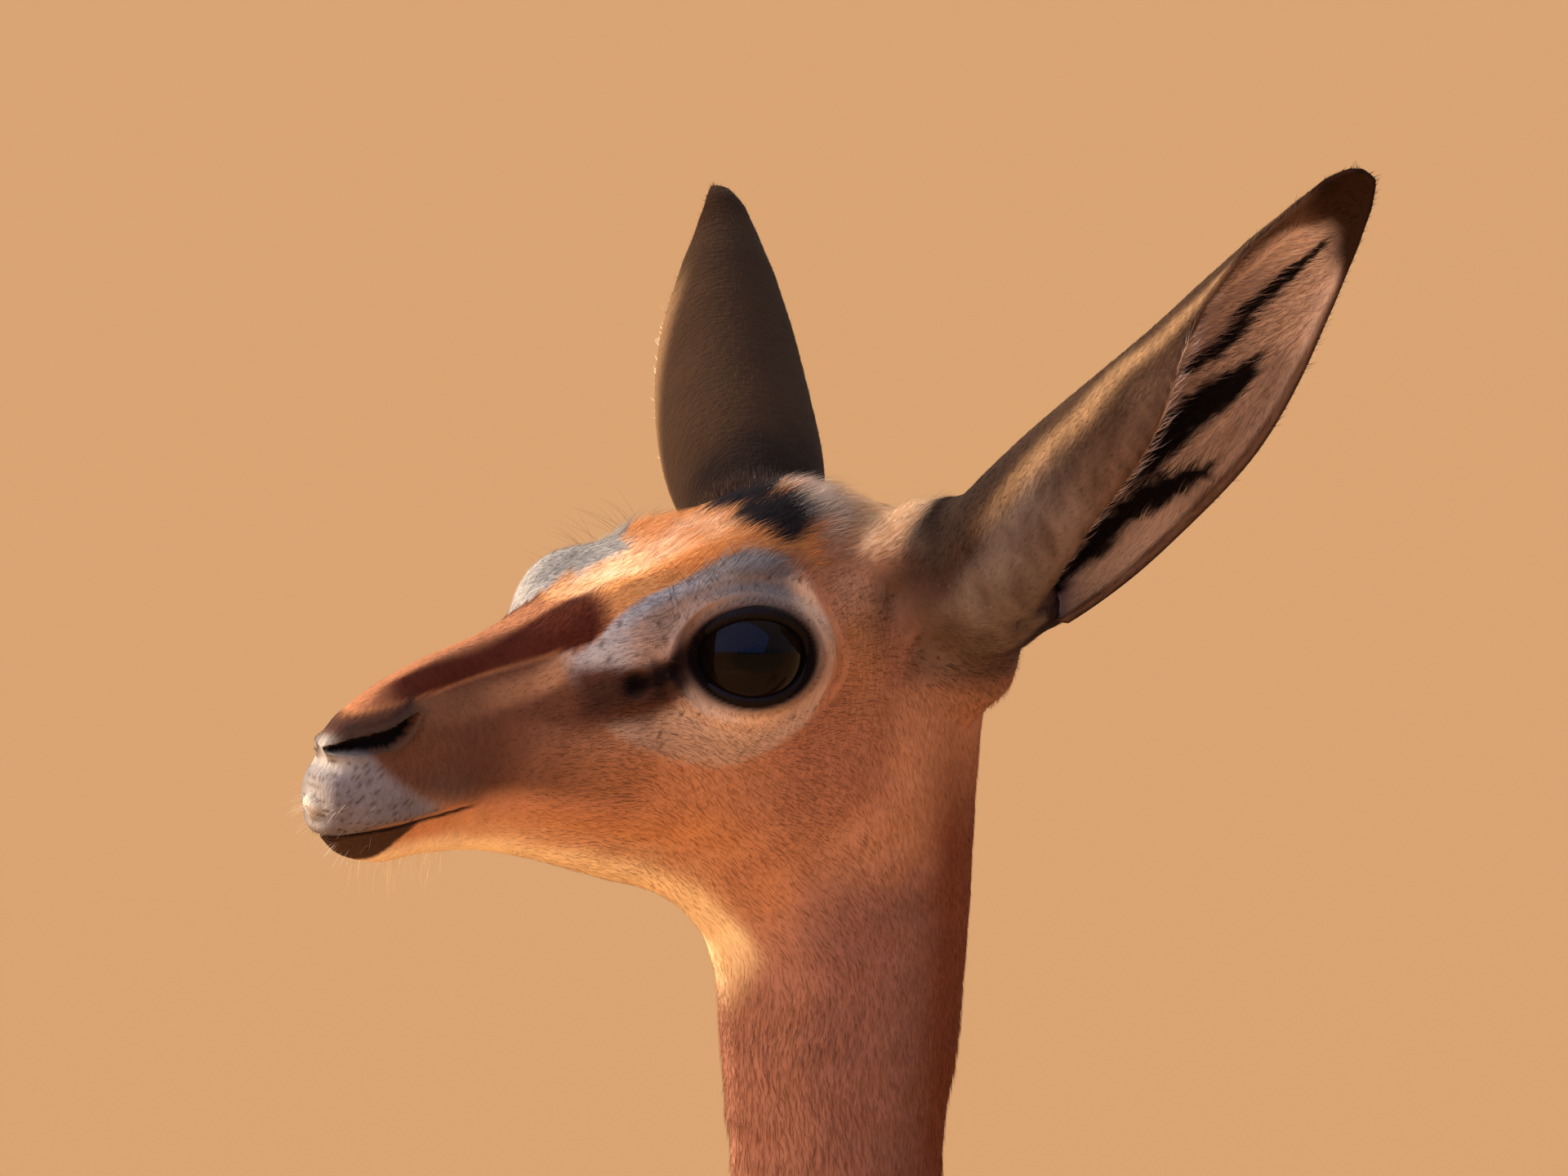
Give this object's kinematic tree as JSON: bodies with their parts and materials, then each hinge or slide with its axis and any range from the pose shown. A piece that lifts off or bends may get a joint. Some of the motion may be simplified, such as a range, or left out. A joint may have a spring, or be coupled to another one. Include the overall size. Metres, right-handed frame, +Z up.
{
  "type": "gerenuk",
  "caption": "Life-size standing hornless antelope with a long thin neck, long slender legs, large cupped ears and dark eyes, its head turned slightly to its left.",
  "frame": {"origin": "on the ground under the middle of the animal's bounding box", "axes": "+Z up, the body faces -X, the animal's left side is towards -Y"},
  "size_m": [0.9206, 0.2504, 1.4644],
  "materials": {
    "coat": "short flat fur, fawn to reddish brown",
    "ears": "short fur, brown grey outside, white inside with black stripes",
    "shanks": "short flat fur, pale fawn",
    "eyes": "wet gloss, very dark brown",
    "hooves": "dull black horn",
    "tail": "long black hair over short brown fur"
  },
  "bodies": {
    "root": {"head": "coat", "neck": "coat", "torso": "coat", "ear_left": "ears", "ear_right": "ears", "eye_left": "eyes", "eye_right": "eyes", "foreleg_left": "coat", "foreleg_right": "coat", "hindleg_left": "coat", "hindleg_right": "coat", "foreleg_left_shank": "shanks", "foreleg_right_shank": "shanks", "hindleg_left_shank": "shanks", "hindleg_right_shank": "shanks", "hoof_foreleg_left_inner": "hooves", "hoof_foreleg_left_outer": "hooves", "hoof_foreleg_right_inner": "hooves", "hoof_foreleg_right_outer": "hooves", "hoof_hindleg_left_inner": "hooves", "hoof_hindleg_left_outer": "hooves", "hoof_hindleg_right_inner": "hooves", "hoof_hindleg_right_outer": "hooves", "tail": "tail"}
  },
  "joints": []
}
